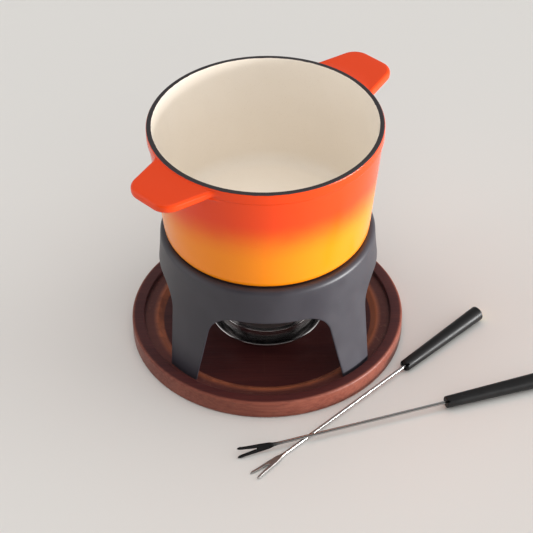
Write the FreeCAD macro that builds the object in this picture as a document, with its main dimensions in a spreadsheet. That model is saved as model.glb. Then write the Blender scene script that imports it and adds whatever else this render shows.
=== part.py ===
"""Fondue pot set: a pot on a four-legged stand, with a burner, a wooden base and two forks.

Frame: millimetres, +Z up, origin at the centre of the wooden base's underside.
The arches of the stand face +X, -X, +Y and -Y, and its legs stand between them.
"""
import FreeCAD
import Part
import Sketcher
import math
import os
import re

SIZES = {
    # wooden base, a turned board
    "board_radius": 100.0,
    "board_height": 14.6,
    "board_edge_round": 1.8,
    "board_rim_inner_radius": 91.0,
    "board_rim_round": 0.7,
    "ring_floor": 10.5,
    "recess_edge_radius": 80.6,
    "recess_radius": 77.2,
    "recess_floor": 8.0,
    "recess_edge_round": 3.0,
    # stand, one casting
    "stand_aside": 1.3,
    "stand_foot_radius": 88.4,
    "stand_waist_radius": 78.1,
    "stand_waist_height": 70.0,
    "stand_ring_radius": 76.5,
    "stand_top": 96.3,
    "stand_wall": 4.2,
    "stand_lip_radius": 71.5,
    "ledge_radius": 62.0,
    "ledge_thickness": 4.0,
    "ledge_depth": 11.0,
    "stand_shoulder_round": 4.2,
    "stand_lip_round": 0.6,
    "stand_waist_round": 70.0,
    "arch_foot_half": 52.2,
    "arch_top_half": 39.0,
    "arch_top": 69.5,
    "arch_round": 20.0,
    "cut_clearance": 1.0,
    # pot, one casting
    "pot_aside": 0.8,
    "pot_base": 95.5,
    "pot_foot_radius": 56.0,
    "pot_foot_depth": 0.8,
    "pot_base_radius": 72.7,
    "pot_base_round": 8.0,
    "pot_wall_radius": 80.6,
    "pot_lip_base": 175.6,
    "pot_lip_radius": 81.6,
    "pot_lip_step": 1.4,
    "pot_lip_round": 1.2,
    "pot_top": 184.5,
    "pot_mouth_radius": 77.9,
    "pot_cavity_radius": 68.4,
    "pot_cavity_floor": 100.0,
    "pot_cavity_round": 11.0,
    "tab_reach": 112.5,
    "tab_tip_half": 18.2,
    "tab_root": 84.0,
    "tab_root_half": 25.4,
    "tab_flare": 74.0,
    "tab_flare_half": 33.8,
    "tab_base": 176.2,
    "tab_thickness": 6.4,
    "tab_tip_round": 13.0,
    "tab_root_round": 12.0,
    "tab_edge_round": 2.4,
    # burner
    "steel_gauge": 0.8,
    "saucer_floor_radius": 34.8,
    "saucer_rim_radius": 41.0,
    "saucer_rim_height": 7.9,
    "saucer_lip_height": 1.0,
    "saucer_bead_radius": 0.6,
    "cup_base_radius": 34.0,
    "cup_top_radius": 35.4,
    "cup_height": 15.6,
    "cup_base_round": 2.0,
    "wadding_radius": 32.2,
    "wadding_height": 11.0,
    "wadding_round": 2.5,
    "gauze_radius": 32.6,
    "gauze_thickness": 0.8,
    "gauze_gap": 0.2,
    "cover_radius": 36.5,
    "cover_skirt": 6.8,
    "cover_round": 0.6,
    "mouth_radius": 14.0,
    "collar_height": 2.2,
    "collar_flange_radius": 16.6,
    "vent_circle_radius": 23.5,
    "vent_radius": 3.2,
    "vent_count": 8.0,
    "shutter_radius": 34.6,
    "shutter_thickness": 1.0,
    "shutter_gap": 0.06,
    "lever_angle": 67.5,
    "lever_start": 19.0,
    "lever_end": 60.0,
    "lever_width": 9.0,
    "lever_thickness": 1.2,
    "rivet_inner": 22.0,
    "rivet_outer": 31.0,
    "rivet_radius": 1.2,
    "rivet_head_radius": 2.2,
    "rivet_head_height": 0.9,
    "grip_start": 46.0,
    "grip_end": 65.0,
    "grip_width": 13.0,
    "grip_neck_half": 5.0,
    "grip_corner_round": 4.3,
    "grip_thickness": 6.0,
    "grip_edge_round": 1.8,
    "snuffer_skirt_radius": 17.8,
    "snuffer_skirt_drop": 0.6,
    "snuffer_rise_radius": 11.0,
    "snuffer_crown_radius": 7.0,
    "snuffer_crown_rise": 3.4,
    "snuffer_gap": 0.05,
    "screw_radius": 1.5,
    "screw_head_radius": 2.8,
    "screw_head_height": 1.6,
    "screw_length": 7.0,
    "knob_radius": 6.5,
    "knob_neck_radius": 3.2,
    "knob_neck_height": 3.0,
    "knob_flare_height": 1.5,
    "knob_height": 11.0,
    "knob_round": 2.4,
    "fit_gap": 0.05,
    # forks
    "fork_length": 230.0,
    "rod_radius": 1.2,
    "rod_hidden": 45.0,
    "rod_overlap": 4.0,
    "blade_thickness": 1.4,
    "blade_neck": 28.0,
    "blade_shoulder": 14.5,
    "blade_half": 3.3,
    "prong_half": 3.95,
    "prong_bow": 2.0,
    "prong_tip_half": 3.6,
    "prong_inner_half": 2.7,
    "slit_depth": 14.3,
    "slit_nose": 1.0,
    "slit_half": 0.7,
    "grip_a_start": 150.0,
    "grip_b_start": 154.0,
    "grip_front_radius": 4.3,
    "grip_rear_radius": 5.6,
    "grip_front_round": 1.2,
    "grip_rear_round": 0.8,
    "grip_slot_depth": 2.3,
    "grip_slot_half_width": 0.85,
    "grip_slot_half_length": 7.0,
    "cap_socket_radius": 4.4,
    "cap_socket_depth": 6.0,
    "cap_rise": 0.7,
    "cap_round": 0.6,
}

# how each fork lies: tip of the prongs, heading and rise of its axis towards the handle, and how
# far its blade is rolled from lying flat
FORK_A_PLACE = {"tip": (-10.9, -156.5, 1.2), "heading": 43.2, "rise": 1.21, "roll": -6.0}
FORK_B_PLACE = {"tip": (-22.2, -138.2, 4.75), "heading": 17.24, "rise": 0.30, "roll": 78.0}

doc = FreeCAD.newDocument("fondue_pot_set")
sheet = doc.addObject("Spreadsheet::Sheet", "sizes")
for row, (alias, size) in enumerate(SIZES.items(), start=1):
    sheet.set(f"A{row}", alias.replace("_", " "))
    sheet.set(f"B{row}", str(size))
    sheet.setAlias(f"B{row}", alias)
doc.recompute()

pieces = []


# ---------------------------------------------------------------- shared ways of working

def bound(rule):
    """The rule with each size written as a cell of the sheet."""
    return re.sub(r"[a-z_]{3,}", lambda word: "sizes." + word.group(0), str(rule))


def value(rule):
    """What a rule gives with the sheet's present sizes."""
    answer = sheet.evalExpression(bound(rule))
    return float(getattr(answer, "Value", answer))


def new_body(label):
    body = doc.addObject("PartDesign::Body", label)
    body.Label = label
    pieces.append(body)
    return body


def origin_item(body, role):
    """One of the body's own origin planes or axes, by its role."""
    return next(item for item in body.Origin.OriginFeatures if item.Role == role)


def new_sketch(body, name, plane, height="0", turn=0.0):
    """A sketch on one of the body's planes, lifted off it and turned about the Z axis."""
    sketch = body.newObject("Sketcher::SketchObject", name)
    sketch.AttachmentSupport = [(origin_item(body, plane), "")]
    sketch.MapMode = "FlatFace"
    spin_axis = FreeCAD.Vector(0, 0, 1) if plane == "XY_Plane" else FreeCAD.Vector(0, 1, 0)
    sketch.AttachmentOffset = FreeCAD.Placement(FreeCAD.Vector(), FreeCAD.Rotation(spin_axis, turn))
    sketch.setExpression("AttachmentOffset.Base.z", bound(height))
    return sketch


def pin_point(sketch, segment, end, axis, rule):
    """Hold one coordinate of a segment's end at the size that the rule gives."""
    size = value(rule)
    if abs(size) < 1e-9:
        mid_line = -2 if axis == "X" else -1
        sketch.addConstraint(Sketcher.Constraint("PointOnObject", segment, end, mid_line))
        return
    index = sketch.addConstraint(
        Sketcher.Constraint("Distance" + axis, -1, 1, segment, end, size))
    sketch.setExpression(f"Constraints[{index}]", bound(rule))


def outline(sketch, corners):
    """A closed outline of straight lines whose corners are pairs of rules."""
    spots = [FreeCAD.Vector(value(across), value(up), 0) for across, up in corners]
    first = sketch.GeometryCount
    count = len(spots)
    for step in range(count):
        line = Part.LineSegment(spots[step], spots[(step + 1) % count])
        sketch.addGeometry(line, False)
    for step in range(count):
        following = first + (step + 1) % count
        sketch.addConstraint(Sketcher.Constraint("Coincident", first + step, 2, following, 1))
    for step, (across, up) in enumerate(corners):
        pin_point(sketch, first + step, 1, "X", across)
        pin_point(sketch, first + step, 1, "Y", up)


def round_corner(sketch, line, radius):
    """An arc in place of the corner where a line of the sketch meets the next line."""
    middles = []
    for index in (line, line + 1):
        middles.append((sketch.getPoint(index, 1) + sketch.getPoint(index, 2)) / 2)
    size = value(radius)
    sketch.fillet(line, line + 1, middles[0], middles[1], size, True, True, False)
    arc = next(index for index, shape in enumerate(sketch.Geometry)
               if isinstance(shape, Part.ArcOfCircle) and index not in rounded(sketch))
    constraint = sketch.addConstraint(Sketcher.Constraint("Radius", arc, size))
    sketch.setExpression(f"Constraints[{constraint}]", bound(radius))


def rounded(sketch):
    """The arcs of the sketch that already have their radius."""
    return [rule.First for rule in sketch.Constraints if rule.Type == "Radius"]


def circle(sketch, across, up, radius):
    """A circle whose centre and radius are rules."""
    centre = FreeCAD.Vector(value(across), value(up), 0)
    index = sketch.addGeometry(Part.Circle(centre, FreeCAD.Vector(0, 0, 1), value(radius)), False)
    pin_point(sketch, index, 3, "X", across)
    pin_point(sketch, index, 3, "Y", up)
    constraint = sketch.addConstraint(Sketcher.Constraint("Radius", index, value(radius)))
    sketch.setExpression(f"Constraints[{constraint}]", bound(radius))


def turned(body, name, corners, cut=False):
    """A solid, or a cut, turned about Z from an outline of (radius, height) rules."""
    sketch = new_sketch(body, name + "_outline", "XZ_Plane")
    outline(sketch, corners)
    return turn_sketch(body, name, sketch, "V_Axis", cut)


def turn_sketch(body, name, sketch, axis, cut=False):
    kind = "PartDesign::Groove" if cut else "PartDesign::Revolution"
    feature = body.newObject(kind, name)
    feature.Profile = sketch
    feature.ReferenceAxis = (sketch, [axis])
    feature.Angle = 360
    doc.recompute()
    return feature


def pad(body, name, sketch, length, both_ways=False):
    feature = body.newObject("PartDesign::Pad", name)
    feature.Profile = sketch
    feature.setExpression("Length", bound(length))
    feature.Midplane = both_ways
    doc.recompute()
    return feature


def pocket_through(body, name, sketch):
    """A cut through everything, both ways from the sketch."""
    before = body.Shape.Volume
    feature = body.newObject("PartDesign::Pocket", name)
    feature.Profile = sketch
    feature.Type = "ThroughAll"
    feature.Midplane = True
    doc.recompute()
    if feature.Shape.Volume >= before:
        raise RuntimeError(name + " cuts nothing")
    return feature


def around(body, name, feature, count, angle=360.0):
    """The feature repeated round the Z axis."""
    pattern = body.newObject("PartDesign::PolarPattern", name)
    pattern.Originals = [feature]
    pattern.Axis = (origin_item(body, "Z_Axis"), [""])
    pattern.Angle = angle
    pattern.Occurrences = count
    body.Tip = pattern
    doc.recompute()
    return pattern


def round_edges(body, name, radius, chosen):
    """A fillet on every edge of the body that the test picks."""
    base = body.Tip
    names = [f"Edge{n}" for n, edge in enumerate(base.Shape.Edges, start=1) if chosen(edge)]
    if not names:
        raise RuntimeError(name + " finds no edge")
    feature = body.newObject("PartDesign::Fillet", name)
    feature.Base = (base, names)
    feature.setExpression("Radius", bound(radius))
    doc.recompute()
    return feature


def ring_at(radius, height):
    """A test for a level circular edge about Z with this radius and height."""
    wanted_radius = value(radius)
    wanted_height = value(height)

    def chosen(edge):
        curve = edge.Curve
        if not isinstance(curve, Part.Circle):
            return False
        off_axis = math.hypot(curve.Center.x, curve.Center.y)
        near = abs(curve.Radius - wanted_radius) < 0.01 and abs(curve.Center.z - wanted_height) < 0.01
        return near and off_axis < 0.01
    return chosen


def upright_at(reach, side):
    """A test for an upright edge at these distances from the two axes of the piece."""
    wanted_reach = value(reach)
    wanted_side = value(side)

    def chosen(edge):
        start = edge.Vertexes[0].Point
        end = edge.Vertexes[-1].Point
        upright = math.hypot(start.x - end.x, start.y - end.y) < 0.01 < abs(start.z - end.z)
        return upright and abs(abs(start.x) - wanted_reach) < 0.01 and abs(abs(start.y) - wanted_side) < 0.01
    return chosen


def level_at(*heights):
    """A test for any level edge that lies at one of these heights."""
    wanted = [value(height) for height in heights]

    def chosen(edge):
        box = edge.BoundBox
        return box.ZLength < 0.01 and any(abs(box.ZMin - height) < 0.01 for height in wanted)
    return chosen


# ---------------------------------------------------------------- wooden base

def build_wooden_base():
    body = new_body("wooden_base")
    turned(body, "board", [
        ("0", "0"),
        ("board_radius", "0"),
        ("board_radius", "board_height"),
        ("board_rim_inner_radius", "board_height"),
        ("board_rim_inner_radius", "ring_floor"),
        ("recess_edge_radius", "ring_floor"),
        ("recess_radius", "recess_floor"),
        ("0", "recess_floor"),
    ])
    outer_bottom = ring_at("board_radius", "0")
    outer_top = ring_at("board_radius", "board_height")
    round_edges(body, "outer_rounds", "board_edge_round",
                lambda edge: outer_bottom(edge) or outer_top(edge))
    round_edges(body, "rim_round", "board_rim_round",
                ring_at("board_rim_inner_radius", "board_height"))
    round_edges(body, "recess_round", "recess_edge_round",
                ring_at("recess_edge_radius", "ring_floor"))


# ---------------------------------------------------------------- stand

def build_cast_stand():
    body = new_body("cast_stand")
    turned(body, "shell", [
        ("stand_foot_radius", "ring_floor"),
        ("stand_waist_radius", "stand_waist_height"),
        ("stand_ring_radius", "stand_top"),
        ("stand_lip_radius", "stand_top"),
        ("stand_lip_radius", "pot_base"),
        ("ledge_radius", "pot_base"),
        ("ledge_radius", "pot_base - ledge_thickness"),
        ("stand_ring_radius - stand_wall", "pot_base - ledge_depth"),
        ("stand_waist_radius - stand_wall", "stand_waist_height"),
        ("stand_foot_radius - stand_wall", "ring_floor"),
    ])
    waist_out = ring_at("stand_waist_radius", "stand_waist_height")
    waist_in = ring_at("stand_waist_radius - stand_wall", "stand_waist_height")
    round_edges(body, "waist_rounds", "stand_waist_round",
                lambda edge: waist_out(edge) or waist_in(edge))
    round_edges(body, "shoulder_round", "stand_shoulder_round",
                ring_at("stand_ring_radius", "stand_top"))
    round_edges(body, "lip_round", "stand_lip_round",
                ring_at("stand_lip_radius", "stand_top"))

    arch = new_sketch(body, "arch_outline", "XZ_Plane")
    outline(arch, [
        ("-arch_foot_half", "ring_floor - cut_clearance"),
        ("arch_foot_half", "ring_floor - cut_clearance"),
        ("arch_top_half", "arch_top"),
        ("-arch_top_half", "arch_top"),
    ])
    for side_line in (1, 2):
        round_corner(arch, side_line, "arch_round")
    front_and_back = pocket_through(body, "front_and_back_arch", arch)
    around(body, "side_arches", front_and_back, 2, 90.0)
    # the stand is set down a little to one side of the base's middle
    body.Placement = FreeCAD.Placement(FreeCAD.Vector(SIZES["stand_aside"], 0, 0), FreeCAD.Rotation())


# ---------------------------------------------------------------- pot

def build_pot():
    body = new_body("pot")
    # both handle tabs start as one bar right across the pot
    tabs = new_sketch(body, "tab_outline", "XY_Plane", height="tab_base")
    quarter = [("tab_reach", "tab_tip_half"), ("tab_root", "tab_root_half"),
               ("tab_flare", "tab_flare_half")]
    right_side = [(reach, "-" + half) for reach, half in quarter]
    left_side = [("-" + reach, half) for reach, half in quarter]
    left_back = [("-" + reach, "-" + half) for reach, half in quarter]
    outline(tabs, quarter + left_side[::-1] + left_back + right_side[::-1])
    pad(body, "tab_bar", tabs, "tab_thickness")
    round_edges(body, "tab_tip_rounds", "tab_tip_round", upright_at("tab_reach", "tab_tip_half"))
    round_edges(body, "tab_root_rounds", "tab_root_round", upright_at("tab_root", "tab_root_half"))
    round_edges(body, "tab_edge_rounds", "tab_edge_round",
                level_at("tab_base", "tab_base + tab_thickness"))
    turned(body, "outside", [
        ("0", "pot_base + pot_foot_depth"),
        ("pot_foot_radius", "pot_base + pot_foot_depth"),
        ("pot_foot_radius", "pot_base"),
        ("pot_base_radius", "pot_base"),
        ("pot_wall_radius", "pot_lip_base"),
        ("pot_lip_radius", "pot_lip_base + pot_lip_step"),
        ("pot_lip_radius", "pot_top"),
        ("0", "pot_top"),
    ])
    round_edges(body, "base_round", "pot_base_round", ring_at("pot_base_radius", "pot_base"))
    round_edges(body, "lip_round", "pot_lip_round", ring_at("pot_lip_radius", "pot_top"))
    turned(body, "inside", [
        ("0", "pot_cavity_floor"),
        ("pot_cavity_radius", "pot_cavity_floor"),
        ("pot_mouth_radius", "pot_top"),
        ("pot_mouth_radius", "pot_top + cut_clearance"),
        ("0", "pot_top + cut_clearance"),
    ], cut=True)
    round_edges(body, "cavity_round", "pot_cavity_round",
                ring_at("pot_cavity_radius", "pot_cavity_floor"))
    # the tabs stand over two opposite legs of the stand
    body.Placement = FreeCAD.Placement(FreeCAD.Vector(SIZES["pot_aside"], 0, 0),
                                       FreeCAD.Rotation(FreeCAD.Vector(0, 0, 1), 45))


# ---------------------------------------------------------------- burner

CUP_BASE = "recess_floor + steel_gauge"
CUP_TOP = "recess_floor + steel_gauge + cup_height"
COVER_TOP = "recess_floor + 2 * steel_gauge + cup_height"
SHUTTER_BASE = COVER_TOP + " + shutter_gap"
SHUTTER_TOP = SHUTTER_BASE + " + shutter_thickness"
COLLAR_TOP = COVER_TOP + " + collar_height"
LEVER_TOP = SHUTTER_TOP + " + lever_thickness"
CROWN_BASE = COLLAR_TOP + " + snuffer_gap + snuffer_crown_rise"
KNOB_BASE = CROWN_BASE + " + steel_gauge"


def build_burner_saucer():
    body = new_body("burner_saucer")
    turned(body, "dish", [
        ("0", "recess_floor"),
        ("saucer_floor_radius", "recess_floor"),
        ("saucer_rim_radius", "recess_floor + saucer_rim_height - saucer_lip_height"),
        ("saucer_rim_radius", "recess_floor + saucer_rim_height"),
        ("saucer_rim_radius - steel_gauge", "recess_floor + saucer_rim_height"),
        ("saucer_rim_radius - steel_gauge",
         "recess_floor + saucer_rim_height - saucer_lip_height + steel_gauge / 2"),
        ("saucer_floor_radius - steel_gauge / 2", "recess_floor + steel_gauge"),
        ("0", "recess_floor + steel_gauge"),
    ])
    bead = new_sketch(body, "bead_outline", "XZ_Plane")
    circle(bead, "saucer_rim_radius", "recess_floor + saucer_rim_height", "saucer_bead_radius")
    turn_sketch(body, "rolled_rim", bead, "V_Axis")


def build_fuel_cup():
    body = new_body("fuel_cup")
    turned(body, "cup", [
        ("0", CUP_BASE),
        ("cup_base_radius", CUP_BASE),
        ("cup_top_radius", CUP_TOP),
        ("cup_top_radius - steel_gauge", CUP_TOP),
        ("cup_base_radius - steel_gauge", CUP_BASE + " + steel_gauge"),
        ("0", CUP_BASE + " + steel_gauge"),
    ])
    round_edges(body, "outer_round", "cup_base_round", ring_at("cup_base_radius", CUP_BASE))
    round_edges(body, "inner_round", "cup_base_round - steel_gauge",
                ring_at("cup_base_radius - steel_gauge", CUP_BASE + " + steel_gauge"))


def build_wick_wadding():
    body = new_body("wick_wadding")
    floor = CUP_BASE + " + steel_gauge"
    turned(body, "disc", [
        ("0", floor),
        ("wadding_radius", floor),
        ("wadding_radius", floor + " + wadding_height"),
        ("0", floor + " + wadding_height"),
    ])
    low_edge = ring_at("wadding_radius", floor)
    high_edge = ring_at("wadding_radius", floor + " + wadding_height")
    round_edges(body, "soft_edges", "wadding_round", lambda edge: low_edge(edge) or high_edge(edge))


def build_wick_gauze():
    disc = doc.addObject("Part::Cylinder", "wick_gauze")
    disc.setExpression("Radius", bound("gauze_radius"))
    disc.setExpression("Height", bound("gauze_thickness"))
    lift = CUP_BASE + " + steel_gauge + wadding_height + gauze_gap"
    disc.setExpression("Placement.Base.z", bound(lift))
    pieces.append(disc)


def vents(body, name, height, first_angle):
    """Eight round vents through the body's top plate."""
    sketch = new_sketch(body, name + "_outline", "XY_Plane", height=height, turn=first_angle)
    circle(sketch, "vent_circle_radius", "0", "vent_radius")
    first_vent = pocket_through(body, name, sketch)
    around(body, name + "_circle", first_vent, int(SIZES["vent_count"]))


def build_burner_cover():
    body = new_body("burner_cover")
    turned(body, "cap", [
        ("mouth_radius", COVER_TOP + " - steel_gauge"),
        ("mouth_radius", COLLAR_TOP),
        ("collar_flange_radius", COLLAR_TOP),
        ("collar_flange_radius", COLLAR_TOP + " - steel_gauge"),
        ("mouth_radius + steel_gauge", COLLAR_TOP + " - steel_gauge"),
        ("mouth_radius + steel_gauge", COVER_TOP),
        ("cover_radius", COVER_TOP),
        ("cover_radius", COVER_TOP + " - cover_skirt"),
        ("cover_radius - steel_gauge", COVER_TOP + " - cover_skirt"),
        ("cover_radius - steel_gauge", COVER_TOP + " - steel_gauge"),
    ])
    round_edges(body, "shoulder_round", "cover_round", ring_at("cover_radius", COVER_TOP))
    vents(body, "vent", COVER_TOP, 0.0)


def build_regulator_ring():
    body = new_body("regulator_ring")
    turned(body, "shutter", [
        ("mouth_radius + steel_gauge + fit_gap", SHUTTER_BASE),
        ("shutter_radius", SHUTTER_BASE),
        ("shutter_radius", SHUTTER_TOP),
        ("mouth_radius + steel_gauge + fit_gap", SHUTTER_TOP),
    ])
    vents(body, "vent", SHUTTER_TOP, 0.0)
    pins = new_sketch(body, "rivet_holes_outline", "XY_Plane", height=SHUTTER_TOP,
                      turn=SIZES["lever_angle"])
    circle(pins, "rivet_inner", "0", "rivet_radius")
    circle(pins, "rivet_outer", "0", "rivet_radius")
    pocket_through(body, "rivet_holes", pins)


def build_lever_strip():
    body = new_body("lever_strip")
    strip = new_sketch(body, "strip_outline", "XY_Plane", height=SHUTTER_TOP, turn=SIZES["lever_angle"])
    outline(strip, [
        ("lever_start", "-lever_width / 2"),
        ("lever_end", "-lever_width / 3"),
        ("lever_end", "lever_width / 3"),
        ("lever_start", "lever_width / 2"),
    ])
    circle(strip, "rivet_inner", "0", "rivet_radius")
    circle(strip, "rivet_outer", "0", "rivet_radius")
    pad(body, "strip", strip, "lever_thickness")


def build_lever_rivets():
    """Both rivets together: shanks through the ring and the strip, domed heads on top."""
    shank_base = value(SHUTTER_BASE)
    head_base = value(LEVER_TOP)
    head_radius = value("rivet_head_radius")
    head_height = value("rivet_head_height")
    # the dome's sphere passes through the head's edge and its top
    dome_radius = (head_radius ** 2 + head_height ** 2) / (2 * head_height)
    angle = math.radians(SIZES["lever_angle"])
    solids = []
    for reach in ("rivet_inner", "rivet_outer"):
        spot = FreeCAD.Vector(math.cos(angle), math.sin(angle), 0) * value(reach)
        shank = Part.makeCylinder(value("rivet_radius"), head_base - shank_base,
                                  spot + FreeCAD.Vector(0, 0, shank_base))
        dome_centre = spot + FreeCAD.Vector(0, 0, head_base + head_height - dome_radius)
        dome = Part.makeSphere(dome_radius, dome_centre)
        above = Part.makeCylinder(head_radius, head_height, spot + FreeCAD.Vector(0, 0, head_base))
        solids.append(shank.fuse(dome.common(above)).removeSplitter())
    rivets = doc.addObject("Part::Feature", "lever_rivets")
    rivets.Shape = Part.makeCompound(solids)
    pieces.append(rivets)


def build_lever_grip():
    body = new_body("lever_grip")
    mid_height = SHUTTER_TOP + " + lever_thickness / 2"
    grip = new_sketch(body, "grip_outline", "XY_Plane", height=mid_height)
    outline(grip, [
        ("grip_start", "-grip_neck_half"),
        ("grip_end", "-grip_width / 2"),
        ("grip_end", "grip_width / 2"),
        ("grip_start", "grip_neck_half"),
    ])
    pad(body, "grip", grip, "grip_thickness", both_ways=True)
    far_end = value("grip_end")
    half_width = value("grip_width") / 2

    def far_corner(edge):
        box = edge.BoundBox
        return box.ZLength > 1 and abs(box.XMin - far_end) < 0.01 and abs(abs(box.YMin) - half_width) < 0.01
    round_edges(body, "end_rounds", "grip_corner_round", far_corner)
    round_edges(body, "edge_rounds", "grip_edge_round",
                level_at(mid_height + " - grip_thickness / 2", mid_height + " + grip_thickness / 2"))
    slot = new_sketch(body, "slot_outline", "XY_Plane", height=mid_height)
    outline(slot, [
        ("grip_start - cut_clearance", "-lever_width / 2"),
        ("lever_end + fit_gap", "-lever_width / 2"),
        ("lever_end + fit_gap", "lever_width / 2"),
        ("grip_start - cut_clearance", "lever_width / 2"),
    ])
    before = body.Shape.Volume
    cut = body.newObject("PartDesign::Pocket", "strip_slot")
    cut.Profile = slot
    cut.Midplane = True
    cut.setExpression("Length", bound("lever_thickness + 2 * fit_gap"))
    doc.recompute()
    if cut.Shape.Volume >= before:
        raise RuntimeError("the grip's slot cuts nothing")
    body.Placement = FreeCAD.Placement(
        FreeCAD.Vector(), FreeCAD.Rotation(FreeCAD.Vector(0, 0, 1), SIZES["lever_angle"]))


def build_snuffer():
    seat = COLLAR_TOP + " + snuffer_gap"
    lid = new_body("snuffer_lid")
    turned(lid, "lid", [
        ("screw_radius + fit_gap", CROWN_BASE),
        ("snuffer_crown_radius", CROWN_BASE),
        ("snuffer_rise_radius", seat),
        ("snuffer_skirt_radius - steel_gauge", seat),
        ("snuffer_skirt_radius - steel_gauge", seat + " - snuffer_skirt_drop"),
        ("snuffer_skirt_radius", seat + " - snuffer_skirt_drop"),
        ("snuffer_skirt_radius", seat + " + steel_gauge"),
        ("snuffer_rise_radius", seat + " + steel_gauge"),
        ("snuffer_crown_radius", KNOB_BASE),
        ("screw_radius + fit_gap", KNOB_BASE),
    ])
    round_edges(lid, "skirt_round", "cover_round", ring_at("snuffer_skirt_radius", seat + " + steel_gauge"))

    knob = new_body("snuffer_knob")
    turned(knob, "knob_shape", [
        ("0", KNOB_BASE + " + screw_length"),
        ("screw_radius + fit_gap", KNOB_BASE + " + screw_length"),
        ("screw_radius + fit_gap", KNOB_BASE),
        ("knob_neck_radius", KNOB_BASE),
        ("knob_neck_radius", KNOB_BASE + " + knob_neck_height"),
        ("knob_radius", KNOB_BASE + " + knob_neck_height + knob_flare_height"),
        ("knob_radius", KNOB_BASE + " + knob_height"),
        ("0", KNOB_BASE + " + knob_height"),
    ])
    round_edges(knob, "top_round", "knob_round", ring_at("knob_radius", KNOB_BASE + " + knob_height"))

    screw = new_body("snuffer_screw")
    turned(screw, "screw_shape", [
        ("0", CROWN_BASE + " - screw_head_height"),
        ("screw_head_radius", CROWN_BASE + " - screw_head_height"),
        ("screw_head_radius", CROWN_BASE),
        ("screw_radius", CROWN_BASE),
        ("screw_radius", KNOB_BASE + " + screw_length - fit_gap"),
        ("0", KNOB_BASE + " + screw_length - fit_gap"),
    ])
    round_edges(screw, "head_round", "screw_head_height / 2",
                ring_at("screw_head_radius", CROWN_BASE + " - screw_head_height"))


# ---------------------------------------------------------------- forks

def front_slot(grip, name, grip_start, side_sign):
    """One of the two slots that cross at 45 degrees in the front end of a handle."""
    sketch = new_sketch(grip, name + "_outline", "YZ_Plane", height=grip_start)
    far = "(grip_slot_half_length + grip_slot_half_width)"
    near = "(grip_slot_half_length - grip_slot_half_width)"
    outline(sketch, [
        (far, side_sign + near),
        (near, side_sign + far),
        ("-" + far, f"-1 * {side_sign}{near}"),
        ("-" + near, f"-1 * {side_sign}{far}"),
    ])
    before = grip.Shape.Volume
    cut = grip.newObject("PartDesign::Pocket", name)
    cut.Profile = sketch
    cut.Reversed = True
    cut.setExpression("Length", bound("grip_slot_depth"))
    doc.recompute()
    if cut.Shape.Volume >= before:
        raise RuntimeError(name + " cuts nothing")


def build_fork(letter, place, grip_start):
    """One fork: its own X axis runs from the prongs' tips to the end of the handle."""
    grip_length = f"fork_length - {grip_start}"
    tines = new_body(f"fork_{letter}_tines")
    blade = new_sketch(tines, "blade_outline", "XY_Plane")
    upper = [
        ("0", "prong_tip_half"),
        ("prong_bow", "prong_half"),
        ("blade_shoulder", "blade_half"),
        ("blade_neck", "rod_radius"),
    ]
    slit = [
        ("slit_depth - slit_nose", "-slit_half"),
        ("slit_depth", "0"),
        ("slit_depth - slit_nose", "slit_half"),
        ("prong_bow", "prong_inner_half"),
    ]
    lower = [(along, "-" + aside) for along, aside in upper]
    outline(blade, upper + lower[::-1] + [("prong_bow", "-prong_inner_half")] + slit)
    pad(tines, "blade", blade, "blade_thickness", both_ways=True)
    rod = new_sketch(tines, "rod_outline", "YZ_Plane", height="blade_neck - rod_overlap")
    circle(rod, "0", "0", "rod_radius")
    pad(tines, "rod", rod, f"{grip_start} + rod_hidden - blade_neck + rod_overlap")

    grip = new_body(f"fork_{letter}_handle")
    side = new_sketch(grip, "grip_outline", "XY_Plane")
    outline(side, [
        (grip_start, "rod_radius + fit_gap"),
        (grip_start, "grip_front_radius"),
        ("fork_length", "grip_rear_radius"),
        ("fork_length", "cap_socket_radius"),
        ("fork_length - cap_socket_depth", "cap_socket_radius"),
        ("fork_length - cap_socket_depth", "0"),
        (f"{grip_start} + rod_hidden + fit_gap", "0"),
        (f"{grip_start} + rod_hidden + fit_gap", "rod_radius + fit_gap"),
    ])
    turn_sketch(grip, "grip", side, "H_Axis")
    front_end = value(grip_start)
    rear_end = value("fork_length")

    def rim_at(along, radius):
        def chosen(edge):
            curve = edge.Curve
            return (isinstance(curve, Part.Circle) and abs(curve.Center.x - along) < 0.01
                    and abs(curve.Radius - radius) < 0.01)
        return chosen
    round_edges(grip, "front_round", "grip_front_round", rim_at(front_end, value("grip_front_radius")))
    round_edges(grip, "rear_round", "grip_rear_round", rim_at(rear_end, value("grip_rear_radius")))
    for name, side_sign in (("first_slot", ""), ("second_slot", "-")):
        front_slot(grip, name, grip_start, side_sign)

    cap = new_body(f"fork_{letter}_cap")
    plug = new_sketch(cap, "plug_outline", "XY_Plane")
    outline(plug, [
        ("fork_length - cap_socket_depth + fit_gap", "0"),
        ("fork_length - cap_socket_depth + fit_gap", "cap_socket_radius - fit_gap"),
        ("fork_length + cap_rise", "cap_socket_radius - fit_gap"),
        ("fork_length + cap_rise", "0"),
    ])
    turn_sketch(cap, "plug", plug, "H_Axis")
    round_edges(cap, "plug_round", "cap_round",
                rim_at(value("fork_length + cap_rise"), value("cap_socket_radius - fit_gap")))

    heading = FreeCAD.Rotation(FreeCAD.Vector(0, 0, 1), place["heading"])
    rise = FreeCAD.Rotation(FreeCAD.Vector(0, 1, 0), -place["rise"])
    roll = FreeCAD.Rotation(FreeCAD.Vector(1, 0, 0), place["roll"])
    tip = FreeCAD.Vector(*place["tip"])
    lying = heading.multiply(rise)
    for piece in (grip, cap):
        piece.Placement = FreeCAD.Placement(tip, lying)
    tines.Placement = FreeCAD.Placement(tip, lying.multiply(roll))
    print(f"fork {letter}: handle {value(grip_length):.1f} mm")


# ---------------------------------------------------------------- the whole set

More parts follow.
